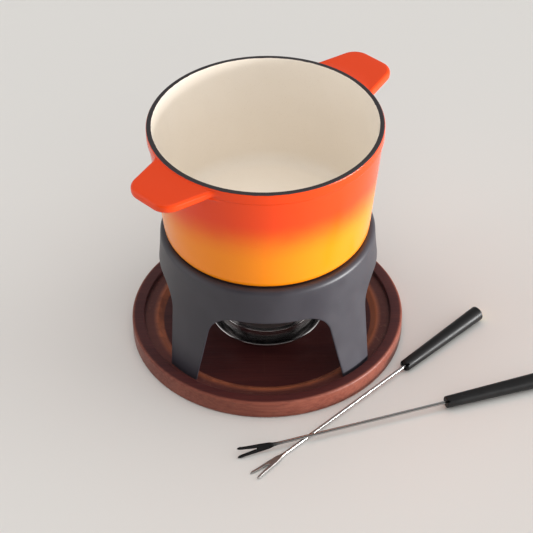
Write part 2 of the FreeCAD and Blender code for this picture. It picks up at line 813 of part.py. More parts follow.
build_wooden_base()
build_cast_stand()
build_pot()
build_burner_saucer()
build_fuel_cup()
build_wick_wadding()
build_wick_gauze()
build_burner_cover()
build_regulator_ring()
build_lever_strip()
build_lever_rivets()
build_lever_grip()
build_snuffer()
build_fork("a", FORK_A_PLACE, "grip_a_start")
build_fork("b", FORK_B_PLACE, "grip_b_start")
doc.recompute()

failed = [item.Label for item in doc.Objects if {"Invalid", "Error"} & set(item.State)]
broken = [piece.Label for piece in pieces if piece.Shape.isNull() or not piece.Shape.isValid()]
if failed or broken:
    raise RuntimeError(f"failed features {failed}, broken pieces {broken}")

os.makedirs("parts", exist_ok=True)
for piece in pieces:
    box = piece.Shape.optimalBoundingBox(False)
    print(f"{piece.Label:18s} {len(piece.Shape.Solids)} solid  {piece.Shape.Volume / 1000:8.2f} cm3"
          f"  z {box.ZMin:7.2f} to {box.ZMax:7.2f}")
    piece.Shape.exportStep(f"parts/{piece.Label}.step")
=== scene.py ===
import math
import random

import bmesh
import bpy
from mathutils import Matrix, Vector


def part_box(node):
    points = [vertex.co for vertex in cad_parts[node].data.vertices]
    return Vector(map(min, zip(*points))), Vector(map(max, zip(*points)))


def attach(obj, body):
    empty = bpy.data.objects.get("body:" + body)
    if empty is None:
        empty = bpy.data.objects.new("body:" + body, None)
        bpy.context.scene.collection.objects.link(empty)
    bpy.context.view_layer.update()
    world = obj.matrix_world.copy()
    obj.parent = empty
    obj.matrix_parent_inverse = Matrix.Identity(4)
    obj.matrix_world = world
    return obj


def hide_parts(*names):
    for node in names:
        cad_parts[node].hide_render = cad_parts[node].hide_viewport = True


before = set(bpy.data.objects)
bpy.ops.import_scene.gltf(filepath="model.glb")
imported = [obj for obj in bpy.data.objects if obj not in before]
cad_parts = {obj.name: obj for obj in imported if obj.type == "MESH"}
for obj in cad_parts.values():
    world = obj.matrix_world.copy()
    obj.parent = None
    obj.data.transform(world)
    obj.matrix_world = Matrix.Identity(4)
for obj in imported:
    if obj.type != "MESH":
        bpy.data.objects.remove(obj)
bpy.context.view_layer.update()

MM = 0.001


# ---------------------------------------------------------------- wooden base
# Wooden base: one disc of hardwood turned on a lathe, stained dark mahogany and given a thin
# satin lacquer. The stand's feet rest on the flat ring inside its raised rim, and the burner
# sits in the shallow recess, whose edge is painted lighter: partly rubbed-back wood, partly a
# painted highlight where the rounded edge catches the light.

def rounded(corners, arc_steps=6):
    """A turned piece's outline, from corners given as (radius, height, size of its round)."""
    points = []
    for index, (reach, height, size) in enumerate(corners):
        here = Vector((reach, height))
        if not size:
            points.append(here)
            continue
        back = (Vector(corners[index - 1][:2]) - here).normalized()
        ahead = (Vector(corners[(index + 1) % len(corners)][:2]) - here).normalized()
        half_angle = back.angle(ahead) / 2
        centre = here + (back + ahead).normalized() * size / math.sin(half_angle)
        first = here + back * size / math.tan(half_angle) - centre
        last = here + ahead * size / math.tan(half_angle) - centre
        sweep = first.angle(last)
        for step in range(arc_steps + 1):
            share = step / arc_steps
            points.append(centre + (first * math.sin((1 - share) * sweep)
                                    + last * math.sin(share * sweep)) / math.sin(sweep))
    return points


def new_piece(name, points, faces, sharp_angle=40, join_distance=0.0):
    """A piece from points in millimetres, with smooth faces and crisp edges."""
    shape = bmesh.new()
    spots = [shape.verts.new(Vector(point) * MM) for point in points]
    for face in faces:
        corners = []
        for index in face:
            if spots[index] not in corners:
                corners.append(spots[index])
        if len(corners) > 2:
            shape.faces.new(corners)
    if join_distance:
        bmesh.ops.remove_doubles(shape, verts=shape.verts, dist=join_distance * MM)
    bmesh.ops.recalc_face_normals(shape, faces=shape.faces)
    if shape.calc_volume(signed=True) < 0:
        bmesh.ops.reverse_faces(shape, faces=shape.faces)
    mesh = bpy.data.meshes.new(name)
    shape.to_mesh(mesh)
    shape.free()
    mesh.shade_smooth()
    mesh.set_sharp_from_angle(angle=math.radians(sharp_angle))
    piece = bpy.data.objects.new(name, mesh)
    bpy.context.scene.collection.objects.link(piece)
    return piece


def ring_faces(rows, columns, closed_rows=False):
    """Four-sided faces between rows of points that each run once round."""
    faces = []
    for row in range(rows if closed_rows else rows - 1):
        above = (row + 1) % rows
        for column in range(columns):
            beside = (column + 1) % columns
            faces.append((row * columns + column, row * columns + beside,
                          above * columns + beside, above * columns + column))
    return faces


def turn_piece(name, outline, steps=240, closed=False):
    """A piece turned about Z; an outline that is not closed starts and ends on the axis."""
    points = []
    for reach, height in outline:
        for step in range(steps):
            angle = math.tau * step / steps
            points.append((reach * math.cos(angle), reach * math.sin(angle), height))
    faces = ring_faces(len(outline), steps, closed)
    return new_piece(name, points, faces, join_distance=0.0005)


def add(tree, kind, inputs=None, **settings):
    """A shader node; each input is either a value or another node's output."""
    node = tree.nodes.new(kind)
    for key, setting in settings.items():
        setattr(node, key, setting)
    for key, source in (inputs or {}).items():
        if isinstance(source, bpy.types.NodeSocket):
            tree.links.new(source, node.inputs[key])
        else:
            node.inputs[key].default_value = source
    return node


def math_node(tree, operation, first, second=0.0):
    return add(tree, "ShaderNodeMath", {0: first, 1: second}, operation=operation).outputs[0]


def times(tree, first, second):
    return math_node(tree, "MULTIPLY", first, second)


def between(tree, source, low, high, low_gives=0.0, high_gives=1.0):
    """A soft step of the source from low to high."""
    step = add(tree, "ShaderNodeMapRange", {0: source, 1: low, 2: high, 3: low_gives, 4: high_gives},
               interpolation_type="SMOOTHSTEP")
    return step.outputs[0]


def mixed(tree, mask, first, second):
    """The first colour where the mask is 0, and the second where it is 1."""
    return add(tree, "ShaderNodeMix", {0: mask, 6: first, 7: second}, data_type="RGBA").outputs[2]


def noise(tree, place, scale, detail=3.0, roughness=0.5, distortion=0.0):
    made = add(tree, "ShaderNodeTexNoise", {"Vector": place, "Scale": scale, "Detail": detail,
                                            "Roughness": roughness, "Distortion": distortion})
    return made.outputs["Fac"]


def stretched(tree, place, along, across, up):
    """The place with each direction scaled, so that a noise runs in streaks."""
    return add(tree, "ShaderNodeVectorMath", {0: place, 1: (along, across, up)},
               operation="MULTIPLY").outputs[0]


def new_finish(name):
    """A material with its shader, and the piece's own coordinates in metres."""
    finish = bpy.data.materials.new(name)
    finish.use_nodes = True
    tree = finish.node_tree
    place = add(tree, "ShaderNodeTexCoord").outputs["Object"]
    return finish, tree, tree.nodes["Principled BSDF"], place


def feed(tree, shader, **sources):
    for key, source in sources.items():
        tree.links.new(source, shader.inputs[key.replace("_", " ")])


def bump(tree, height, strength, distance):
    return add(tree, "ShaderNodeBump", {"Height": height, "Strength": strength,
                                        "Distance": distance}).outputs["Normal"]


def new_group(name, takes, gives):
    """An effect that several finishes share, with named inputs and outputs."""
    group = bpy.data.node_groups.new(name, "ShaderNodeTree")
    for socket, kind, start in takes:
        made = group.interface.new_socket(socket, in_out="INPUT", socket_type=kind)
        if start is not None:
            made.default_value = start
    for socket, kind in gives:
        group.interface.new_socket(socket, in_out="OUTPUT", socket_type=kind)
    return group, group.nodes.new("NodeGroupInput").outputs, group.nodes.new("NodeGroupOutput")


def use_group(tree, group, **inputs):
    made = tree.nodes.new("ShaderNodeGroup")
    made.node_tree = group
    for key, source in inputs.items():
        if isinstance(source, bpy.types.NodeSocket):
            tree.links.new(source, made.inputs[key])
        else:
            made.inputs[key].default_value = source
    return made.outputs


# how far a point is from the Z axis, and how far round it lies
round_axis, given, result = new_group(
    "round_axis", [("Place", "NodeSocketVector", None)],
    [("Reach", "NodeSocketFloat"), ("Turn", "NodeSocketFloat"), ("Height", "NodeSocketFloat")])
parts = add(round_axis, "ShaderNodeSeparateXYZ", {0: given["Place"]}).outputs
flat_place = add(round_axis, "ShaderNodeCombineXYZ", {0: parts[0], 1: parts[1]}).outputs[0]
reach = add(round_axis, "ShaderNodeVectorMath", {0: flat_place}, operation="LENGTH").outputs["Value"]
round_axis.links.new(reach, result.inputs["Reach"])
round_axis.links.new(math_node(round_axis, "ARCTAN2", parts[1], parts[0]), result.inputs["Turn"])
round_axis.links.new(parts[2], result.inputs["Height"])

# rubbed patches with fine scratches in them
rubbing, given, result = new_group(
    "rubbing", [("Place", "NodeSocketVector", None), ("Patch Size", "NodeSocketFloat", 60.0),
                ("Cover", "NodeSocketFloat", 0.5)],
    [("Patches", "NodeSocketFloat"), ("Scratches", "NodeSocketFloat")])
patch = noise(rubbing, given["Place"], given["Patch Size"], 4.0, 0.6)
patch_from = math_node(rubbing, "SUBTRACT", 1.0, given["Cover"])
patch = between(rubbing, patch, patch_from, math_node(rubbing, "ADD", patch_from, 0.18))
scratches = None
for along, across, up in ((9, 900, 300), (700, 14, 300), (260, 300, 11)):
    streaks = noise(rubbing, stretched(rubbing, given["Place"], along, across, up), 1.0, 2.0, 0.4, 0.4)
    streaks = between(rubbing, streaks, 0.69, 0.76)
    scratches = streaks if scratches is None else math_node(rubbing, "MAXIMUM", scratches, streaks)
rubbing.links.new(patch, result.inputs["Patches"])
rubbing.links.new(times(rubbing, scratches, patch), result.inputs["Scratches"])

board_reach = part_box("wooden_base")[1].x / MM
board_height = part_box("wooden_base")[1].z / MM
rim_reach, ring_floor = 91.0, 10.5
recess_edge, recess_reach, recess_floor = 80.6, 77.2, 8.0

board_outline = [Vector((0, 0))] + rounded([
    (0, 0, 0),
    (board_reach, 0, 1.6),
    (board_reach, board_height, 1.8),
    (rim_reach, board_height, 0.9),
    (rim_reach, ring_floor, 0.5),
    (recess_edge, ring_floor, 2.6),
    (recess_reach, recess_floor, 1.6),
    (0, recess_floor, 0),
])[1:-1]
floor_rings, floor_share = 8, 0.96
for step in range(1, floor_rings + 1):
    board_outline.append(Vector((recess_reach * (1 - step / floor_rings) * floor_share, recess_floor)))
wooden_base = turn_piece("wooden_base_turned", board_outline)

mahogany, tree, shader, place = new_finish("stained_mahogany")
axis = use_group(tree, round_axis, Place=place)
waves = noise(tree, stretched(tree, place, 6, 40, 40), 1.0, 3.0, 0.55, 0.9)
grain = noise(tree, stretched(tree, place, 22, 620, 620), 1.0, 4.0, 0.62, 0.25)
pores = between(tree, noise(tree, stretched(tree, place, 95, 2600, 2600), 1.0, 1.0, 0.4), 0.60, 0.70)
figure = math_node(tree, "ADD", times(tree, waves, 0.45), times(tree, grain, 0.55))
stain = mixed(tree, between(tree, figure, 0.32, 0.68),
              (0.042, 0.0088, 0.0098, 1), (0.076, 0.0180, 0.0160, 1))
side = between(tree, axis["Reach"], 0.0975, 0.0996)
edge_stain = mixed(tree, between(tree, figure, 0.35, 0.66),
                   (0.150, 0.034, 0.021, 1), (0.235, 0.070, 0.044, 1))
stain = mixed(tree, side, stain, edge_stain)
# the recess's edge, painted lighter: rubbed-back wood and a painted highlight where the rounded edge catches
# the light
edge_low = between(tree, axis["Reach"], 0.0762, 0.0776)
edge_high = between(tree, axis["Reach"], 0.0822, 0.0850, 1.0, 0.0)
edge_wear_and_highlight = times(tree, edge_low, edge_high)
wear = use_group(tree, rubbing, Place=place, **{"Patch Size": 42.0, "Cover": 0.60})
edge_wear_and_highlight = times(tree, edge_wear_and_highlight, between(tree, wear["Patches"], 0.0, 1.0, 0.60, 1.0))
stain = mixed(tree, edge_wear_and_highlight, stain, (0.310, 0.088, 0.040, 1))
# the ring that the stand stands on has lost some of its stain, most where its feet are turned
ring_wear = times(tree, between(tree, axis["Reach"], 0.0812, 0.0830),
                  between(tree, axis["Reach"], 0.0895, 0.0910, 1.0, 0.0))
feet = between(tree, math_node(tree, "SINE", times(tree, axis["Turn"], 4.0)), -1.0, 0.2, 1.0, 0.35)
foot_marks = between(tree, noise(tree, stretched(tree, place, 420, 420, 60), 1.0, 3.0, 0.6), 0.58, 0.66)
stain = mixed(tree, times(tree, ring_wear, 0.45), stain, (0.135, 0.042, 0.032, 1))
foot_marks = times(tree, times(tree, foot_marks, feet), ring_wear)
stain = mixed(tree, times(tree, foot_marks, 0.22), stain, (0.30, 0.14, 0.10, 1))
stain = mixed(tree, times(tree, wear["Scratches"], 0.10), stain, (0.26, 0.13, 0.095, 1))
stain = mixed(tree, times(tree, pores, 0.30), stain, (0.010, 0.003, 0.003, 1))
gloss = between(tree, figure, 0.3, 0.7, 0.46, 0.38)
gloss = math_node(tree, "ADD", gloss, times(tree, wear["Scratches"], 0.12))
relief = math_node(tree, "SUBTRACT", times(tree, grain, 0.6), pores)
feed(tree, shader, Base_Color=stain, Roughness=gloss, Normal=bump(tree, relief, 0.35, 0.00012))
shader.inputs["Specular IOR Level"].default_value = 0.30
wooden_base.data.materials.append(mahogany)
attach(wooden_base, "base")
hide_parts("wooden_base")


# ---------------------------------------------------------------- cast stand
# Stand: one grey-iron casting, a ring on four flared legs, enamelled satin black all over. A
# ledge cast inside the ring carries the pot. It stands loose on the base, a little to one side.

foot_reach, waist_reach, waist_height = 88.4, 78.1, 70.0
ring_reach, lip_reach, wall = 76.5, 71.5, 4.2
stand_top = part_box("cast_stand")[1].z / MM
stand_aside = 1.3
ledge_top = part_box("pot")[0].z / MM
ledge_reach, ledge_thickness = 62.0, 4.0
ledge_foot = ledge_top - 11.0
grid_top = 88.0
arch_foot_half, arch_top_half, arch_top, arch_round, arch_edge_round = 52.2, 39.0, 69.5, 20.0, 1.3
arch_side_steps, arch_round_steps, arch_top_steps, edge_steps = 20, 16, 10, 5
leg_middle = math.radians(45)
flare = (foot_reach - waist_reach) / (waist_height - ring_floor)
lean = (waist_reach - ring_reach) / (stand_top - waist_height)
bend = 7.0


def outside_reach(height):
    """The stand's outer radius: two straight tapers with a long soft bend between them."""
    above = waist_reach - lean * (height - waist_height)
    return above + (flare - lean) * bend * math.log(1 + math.exp((waist_height - height) / bend))


def inside_reach(height):
    """The stand's inner radius, which runs in under the ledge at its top."""
    if height <= ledge_foot:
        return outside_reach(height) - wall
    share = (height - ledge_foot) / (ledge_top - ledge_thickness - ledge_foot)
    return (outside_reach(ledge_foot) - wall) * (1 - share) + ledge_reach * share


def arch_half_outline():
    """Half of an arch's outline, (across, height), from its foot to the middle of its top, with normals."""
    foot = Vector((arch_foot_half, ring_floor))
    corner, top = Vector((arch_top_half, arch_top)), Vector((0.0, arch_top))
    back, ahead = (foot - corner).normalized(), (top - corner).normalized()
    half_angle = back.angle(ahead) / 2
    reach = arch_round / math.tan(half_angle)
    centre = corner + (back + ahead).normalized() * arch_round / math.sin(half_angle)
    side_end, top_start = corner + back * reach, corner + ahead * reach
    spots = []
    side_normal = Vector((-back.y, back.x))
    for step in range(arch_side_steps):
        spots.append((foot.lerp(side_end, step / arch_side_steps), side_normal))
    for step in range(arch_round_steps + 1):
        sweep = (side_end - centre).angle(top_start - centre) * step / arch_round_steps
        turn = Matrix.Rotation(sweep, 2)
        spot = centre + turn @ (side_end - centre)
        spots.append((spot, (spot - centre).normalized()))
    for step in range(1, arch_top_steps + 1):
        spots.append((top_start.lerp(top, step / arch_top_steps), Vector((0, 1))))
    return spots


def stand_point(surface, spot):
    """A point of the stand's inside or outside over (across, height), facing +X."""
    across, height = spot
    reach = surface(height)
    return Vector((math.sqrt(reach * reach - across * across), across, height))


arch = arch_half_outline()
arc_middle = arch_side_steps + arch_round_steps // 2
# how far each row lies from the arch's edge towards the middle of the leg
rows_out = [0, .03, .07, .13, .2, .28, .37, .46, .55, .64, .73, .82, .91, 1]


def stand_column(index):
    """All points over one step of the arch's outline: outside, round the arch's edge, inside."""
    spot, normal = arch[index]
    if index <= arc_middle:
        share = max(0.0, (index - arch_side_steps) / (arc_middle - arch_side_steps))
        far_height = spot.y * (1 - share) + grid_top * share if share else spot.y
        far_turn = leg_middle
    else:
        far_height = grid_top
        start = math.asin(arch[arc_middle][0].x / outside_reach(grid_top))
        here = math.asin(spot.x / outside_reach(grid_top))
        far_turn = here / start * leg_middle
    column = []
    edge = spot + normal * arch_edge_round
    for surface in (outside_reach, inside_reach):
        near = stand_point(surface, edge)
        near_turn = math.atan2(near.y, near.x)
        run = []
        for share in rows_out:
            turn = near_turn * (1 - share) + far_turn * share
            height = edge.y * (1 - share) + far_height * share
            reach = surface(height)
            run.append(Vector((reach * math.cos(turn), reach * math.sin(turn), height)))
        round_run = []
        inward = -1 if surface is outside_reach else 1
        for step in range(1, edge_steps + 1):
            angle = math.radians(90) * step / edge_steps
            base = stand_point(surface, spot + normal * arch_edge_round * (1 - math.sin(angle)))
            base.x += inward * arch_edge_round * (1 - math.cos(angle))
            round_run.append(base)
        column.append((run, round_run))
    (outer, outer_round), (inner, inner_round) = column
    return outer[::-1] + outer_round + inner_round[::-1] + inner


columns = [stand_column(index) for index in range(len(arch))]
for point in columns[0]:
    point.z = ring_floor
rim_section = rounded([
    (outside_reach(grid_top), grid_top, 0),
    (ring_reach + 0.1, stand_top, 4.2),
    (lip_reach, stand_top, 0.35),
    (lip_reach, ledge_top, 0.3),
    (ledge_reach, ledge_top, 0.9),
    (ledge_reach, ledge_top - ledge_thickness, 0.9),
    (inside_reach(grid_top), grid_top, 0),
], 9)
points, faces = [], []
for quarter in range(4):
    for mirror in (1, -1):
        turn = Matrix.Rotation(math.tau * quarter / 4, 3, "Z")
        start = len(points)
        length = len(columns[0])
        for column in columns:
            points += [turn @ Vector((p.x, p.y * mirror, p.z)) for p in column]
        for row in range(len(columns) - 1):
            for step in range(length - 1):
                corner = start + row * length + step
                faces.append((corner, corner + 1, corner + length + 1, corner + length))
        # the foot's sole
        for step in range(length // 2 - 1):
            faces.append((start + step, start + step + 1,
                          start + length - 2 - step, start + length - 1 - step))
        # the ring's rounded top
        rim_start = len(points)
        turns = [math.atan2(column[0].y, column[0].x) for column in columns[arc_middle:]]
        for turn_here in turns:
            for reach, height in rim_section:
                points.append(turn @ Vector((reach * math.cos(turn_here),
                                             mirror * reach * math.sin(turn_here), height)))
        across_count = len(rim_section)
        for row in range(len(turns) - 1):
            for step in range(across_count - 1):
                corner = rim_start + row * across_count + step
                faces.append((corner, corner + 1, corner + across_count + 1, corner + across_count))
stand = new_piece("stand_casting", points, faces, 30, 0.02)

# the pebbled relief of a casting, an enamel skin or a moulding
skin_relief, given, result = new_group(
    "skin_relief", [("Place", "NodeSocketVector", None), ("Fine", "NodeSocketFloat", 900.0),
                    ("Broad", "NodeSocketFloat", 60.0), ("Broad Share", "NodeSocketFloat", 0.5)],
    [("Height", "NodeSocketFloat"), ("Mottle", "NodeSocketFloat")])
fine = noise(skin_relief, given["Place"], given["Fine"], 3.0, 0.6)
broad = noise(skin_relief, given["Place"], given["Broad"], 2.0, 0.5)
height = math_node(skin_relief, "ADD", fine, times(skin_relief, broad, given["Broad Share"]))
skin_relief.links.new(height, result.inputs["Height"])
skin_relief.links.new(broad, result.inputs["Mottle"])

iron, tree, shader, place = new_finish("satin_black_iron")
skin = use_group(tree, skin_relief, Place=place, Fine=1500.0, Broad=38.0, **{"Broad Share": 1.5})
wear = use_group(tree, rubbing, Place=place, **{"Patch Size": 30.0, "Cover": 0.45})
colour = mixed(tree, between(tree, skin["Mottle"], 0.35, 0.65), (0.0300, 0.0275, 0.0360, 1),
               (0.038, 0.0355, 0.0445, 1))
colour = mixed(tree, times(tree, wear["Scratches"], 0.25), colour, (0.11, 0.108, 0.112, 1))
gloss = between(tree, skin["Mottle"], 0.3, 0.7, 0.40, 0.47)
feed(tree, shader, Base_Color=colour, Roughness=gloss, Normal=bump(tree, skin["Height"], 0.16, 0.00010))
stand.data.materials.append(iron)
stand.location.x = stand_aside * MM
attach(stand, "stand")
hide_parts("cast_stand")


# ---------------------------------------------------------------- pot
# Pot: cast iron with a flat handle tab on each side, all one casting. Outside it has a flame
# enamel sprayed from red-orange down to yellow-orange, inside a cream enamel, and the rim
# between them has only the thin black ground coat. It sits loose on the stand's ledge.

pot_low, pot_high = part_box("pot")[0].z / MM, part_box("pot")[1].z / MM
pot_aside = 0.8
base_reach, wall_top_reach, lip_out = 72.7, 80.6, 81.6
lip_base, plain_wall_top, under_tab = 175.6, 170.0, 171
foot_ring_reach, foot_ring_height = 56.0, 0.8
mouth_reach, cavity_reach, cavity_floor = 77.9, 68.4, 100.0
tab_tip, tab_tip_half, tab_slope = 112.5, 18.2, Vector((-28.5, 7.2)).normalized()
tab_low, tab_high, tab_edge = 176.2, 182.6, 2.4
tip_round, root_round = 13.0, 14.0


def tab_outline():
    """A quarter of the pot's plan at the lip, from the tab's tip round to 90 degrees.
    Gives (point, outward normal, share of tab) for each step."""
    side_normal = Vector((-tab_slope.y, tab_slope.x)) * -1
    corner = Vector((tab_tip, tab_tip_half))
    # tip corner
    back, ahead = Vector((0, -1)), tab_slope
    half_angle = back.angle(ahead) / 2
    reach = tip_round / math.tan(half_angle)
    tip_centre = corner + (back + ahead).normalized() * tip_round / math.sin(half_angle)
    tip_end, side_start = corner + back * reach, corner + ahead * reach
    # the hollow round where the tab's side runs into the lip
    offset = side_normal.dot(corner) + root_round
    reach_out = lip_out + root_round
    along = math.sqrt(reach_out ** 2 - offset ** 2)
    root_centre = side_normal * offset - tab_slope * along
    side_end = root_centre - side_normal * root_round
    lip_start = root_centre * lip_out / reach_out
    steps = []
    for step in range(8):
        steps.append((Vector((tab_tip, tip_end.y * step / 8)), Vector((1, 0)), 1.0))
    sweep = (tip_end - tip_centre).angle(side_start - tip_centre)
    for step in range(10):
        spoke = Matrix.Rotation(sweep * step / 10, 2) @ (tip_end - tip_centre)
        steps.append((tip_centre + spoke, spoke.normalized(), 1.0))
    for step in range(16):
        steps.append((side_start.lerp(side_end, step / 16), side_normal, 1.0))
    sweep = (side_end - root_centre).angle(lip_start - root_centre)
    for step in range(16):
        spoke = Matrix.Rotation(-sweep * step / 16, 2) @ (side_end - root_centre)
        share = 1 - step / 16
        share = share * share * (3 - 2 * share)
        steps.append((root_centre + spoke, -spoke.normalized(), share))
    start = math.atan2(lip_start.y, lip_start.x)
    for step in range(38):
        angle = start + (math.pi / 2 - start) * step / 37
        spoke = Vector((math.cos(angle), math.sin(angle)))
        steps.append((spoke * lip_out, spoke, 0.0))
    return steps


quarter = tab_outline()
plan = list(quarter)
plan += [(Vector((-p.x, p.y)), Vector((-n.x, n.y)), s) for p, n, s in quarter[-2::-1]]
plan += [(Vector((-p.x, -p.y)), Vector((-n.x, -n.y)), s) for p, n, s in quarter[1:]]
plan += [(Vector((p.x, -p.y)), Vector((n.x, -n.y)), s) for p, n, s in quarter[-2:0:-1]]

hollow = pot_low + foot_ring_height
below = [Vector((0, hollow)), Vector((foot_ring_reach / 2, hollow))] + rounded([
    (0, hollow, 0), (foot_ring_reach, hollow, 0.3), (foot_ring_reach, pot_low, 0.5),
    (base_reach, pot_low, 8.0), (wall_top_reach, lip_base, 0)], 8)[1:-1]
wall_foot = below[-1]
wall_slope = (wall_top_reach - base_reach) / (lip_base - pot_low)


def wall_reach(height):
    return base_reach + wall_slope * (height - pot_low)


wall_rings = 12
for step in range(1, wall_rings + 1):
    height = wall_foot.y + (plain_wall_top - wall_foot.y) * step / wall_rings
    below.append(Vector((wall_reach(height), height)))
# each level: (radius, height) on the plain lip, and how it runs on the tab
levels = [((r, z), ("wall", r, z)) for r, z in below]
# the hollow round that runs from the wall out under the tab
soft, soft_steps = 3.0, 5
for step in range(1, soft_steps + 1):
    angle = math.radians(90) * step / soft_steps
    height = plain_wall_top + 0.6 + 0.85 * step
    levels.append(((wall_reach(height), height),
                   ("wall", wall_reach(under_tab) + soft * (1 - math.cos(angle)),
                    tab_low - soft * (1 - math.sin(angle)))))
lip_points = rounded([(wall_top_reach, lip_base - 1.0, 0), (wall_top_reach, lip_base, 0.7),
                      (lip_out, lip_base + 1.4, 1.2), (lip_out, pot_high, 0)], 3)[1:-1]
for step, (r, z) in enumerate(lip_points):
    levels.append(((r, z), ("run", (step + 1) / (len(lip_points) + 1), tab_low)))
edge_turns = 7
lip_flat = [lip_base + 3.2 + (pot_high - 1.7 - lip_base - 3.2) * step / (2 * edge_turns + 1)
            for step in range(2 * edge_turns + 2)]
for step in range(edge_turns + 1):
    angle = math.radians(90) * step / edge_turns
    levels.append(((lip_out, lip_flat[step]), ("edge", tab_edge * (1 - math.sin(angle)),
                                               tab_low + tab_edge * (1 - math.cos(angle)))))
for step in range(edge_turns + 1):
    angle = math.radians(90) * step / edge_turns
    levels.append(((lip_out, lip_flat[edge_turns + 1 + step]),
                   ("edge", tab_edge * (1 - math.cos(angle)), tab_high - tab_edge * (1 - math.sin(angle)))))
lip_turn = rounded([(lip_out, lip_base + 6, 0), (lip_out, pot_high, 1.2),
                    (mouth_reach, pot_high, 0)], 8)[1:-1]
for step in range(5):
    levels.append(((lip_out, pot_high - 1.7 + 0.3 * (step + 1) / 6), ("run", 1 - (step + 1) / 6, tab_high)))
for r, z in lip_turn:
    levels.append(((r, z), ("wall", r, max(z, tab_high + 0.02))))
inside = rounded([(lip_out, pot_high, 0), (mouth_reach, pot_high, 0.5), (cavity_reach, cavity_floor, 11.0),
                  (0, cavity_floor, 0)], 10)[1:-1]
rim_inner, cavity_turn = inside[:11], inside[11:]
for r, z in rim_inner:
    levels.append(((r, z), ("wall", r, z)))
for step in range(1, 12):
    spot = rim_inner[-1].lerp(cavity_turn[0], step / 12)
    levels.append(((spot.x, spot.y), ("wall", spot.x, spot.y)))
for r, z in cavity_turn:
    levels.append(((r, z), ("wall", r, z)))
for step in range(1, 9):
    reach = cavity_turn[-1].x * (1 - step / 8)
    levels.append(((reach, cavity_floor), ("wall", reach, cavity_floor)))

points = []
pot_turn = Matrix.Rotation(math.radians(45), 2)
for (lip_r, lip_z), (kind, first, second) in levels:
    for spot, normal, share in plan:
        spoke = spot.normalized()
        plain = Vector((*(spoke * lip_r), lip_z))
        if kind == "wall":
            on_tab = Vector((*(spoke * first), second))
        elif kind == "edge":
            on_tab = Vector((*(spot - normal * first), second))
        else:
            start = wall_reach(under_tab) + soft if second == tab_low else lip_out
            on_tab = Vector((*((spoke * start).lerp(spot - normal * tab_edge, first)), second))
        where = plain.lerp(on_tab, share)
        points.append((*(pot_turn @ where.xy), where.z))
pot = new_piece("pot_casting", points, ring_faces(len(levels), len(plan)), 50, 0.001)

enamel, tree, shader, place = new_finish("flame_enamel")
axis = use_group(tree, round_axis, Place=place)
skin = use_group(tree, skin_relief, Place=place, Fine=420.0, Broad=55.0, **{"Broad Share": 1.2})
spray = math_node(tree, "ADD", axis["Height"], times(tree, noise(tree, place, 26.0, 4.0, 0.6), 0.010))
flame = mixed(tree, between(tree, spray, 0.126, 0.162), (0.93, 0.262, 0.002, 1), (0.80, 0.056, 0.005, 1))
speckle = between(tree, noise(tree, place, 2600.0, 2.0, 0.7), 0.35, 0.75)
flame = mixed(tree, times(tree, speckle, 0.10), flame, (0.70, 0.050, 0.010, 1))
cream = mixed(tree, skin["Mottle"], (0.910, 0.832, 0.725, 1), (0.935, 0.860, 0.760, 1))
cream = mixed(tree, times(tree, between(tree, noise(tree, place, 1900.0, 1.0), 0.68, 0.74), 0.25),
              cream, (0.50, 0.38, 0.26, 1))
ragged = times(tree, math_node(tree, "SUBTRACT", noise(tree, place, 300.0, 3.0), 0.5), 0.0004)
reach_there = math_node(tree, "ADD", axis["Reach"], ragged)
# halfway through the wall, which leans out by the same amount as the cavity
mid_wall = math_node(tree, "SUBTRACT", axis["Reach"], times(tree, axis["Height"], 0.1124))
inside_mask = times(tree, between(tree, reach_there, 0.07800, 0.07808, 1.0, 0.0),
                    between(tree, axis["Height"], 0.0975, 0.0985))
inside_mask = times(tree, inside_mask, between(tree, mid_wall, 0.0590, 0.0598, 1.0, 0.0))
bare_mask = times(tree, between(tree, reach_there, 0.07800, 0.07808),
                  times(tree, between(tree, reach_there, 0.08125, 0.08133, 1.0, 0.0),
                        between(tree, axis["Height"], 0.1832, 0.1835)))
grit = noise(tree, place, 1400.0, 3.0, 0.7)
bare = mixed(tree, grit, (0.018, 0.016, 0.017, 1), (0.050, 0.044, 0.046, 1))
colour = mixed(tree, bare_mask, mixed(tree, inside_mask, flame, cream), bare)
# the underside has one thin grey coat
under_mask = between(tree, axis["Height"], 0.0964, 0.0969, 1.0, 0.0)
colour = mixed(tree, under_mask, colour, mixed(tree, grit, (0.22, 0.185, 0.19, 1), (0.34, 0.30, 0.305, 1)))
gloss = between(tree, skin["Mottle"], 0.3, 0.7, 0.17, 0.24)
gloss = math_node(tree, "ADD", gloss, times(tree, bare_mask, 0.38))
feed(tree, shader, Base_Color=colour, Roughness=gloss)
relief = math_node(tree, "ADD", skin["Height"], times(tree, times(tree, bare_mask, grit), 4.0))
feed(tree, shader, Normal=bump(tree, relief, 0.10, 0.00010))
shader.inputs["Specular IOR Level"].default_value = 0.32
pot.data.materials.append(enamel)
pot.location.x = pot_aside * MM
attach(pot, "pot")
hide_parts("pot")


# ---------------------------------------------------------------- burner
# Burner: pressed stainless parts. A dish with a rolled rim carries the spot-welded fuel cup, a
# cap with a mouth and eight vents is pushed over the cup, and a shutter turns on the cap's collar.
# They are polished on the wheel, so their fine lines run round the axis.

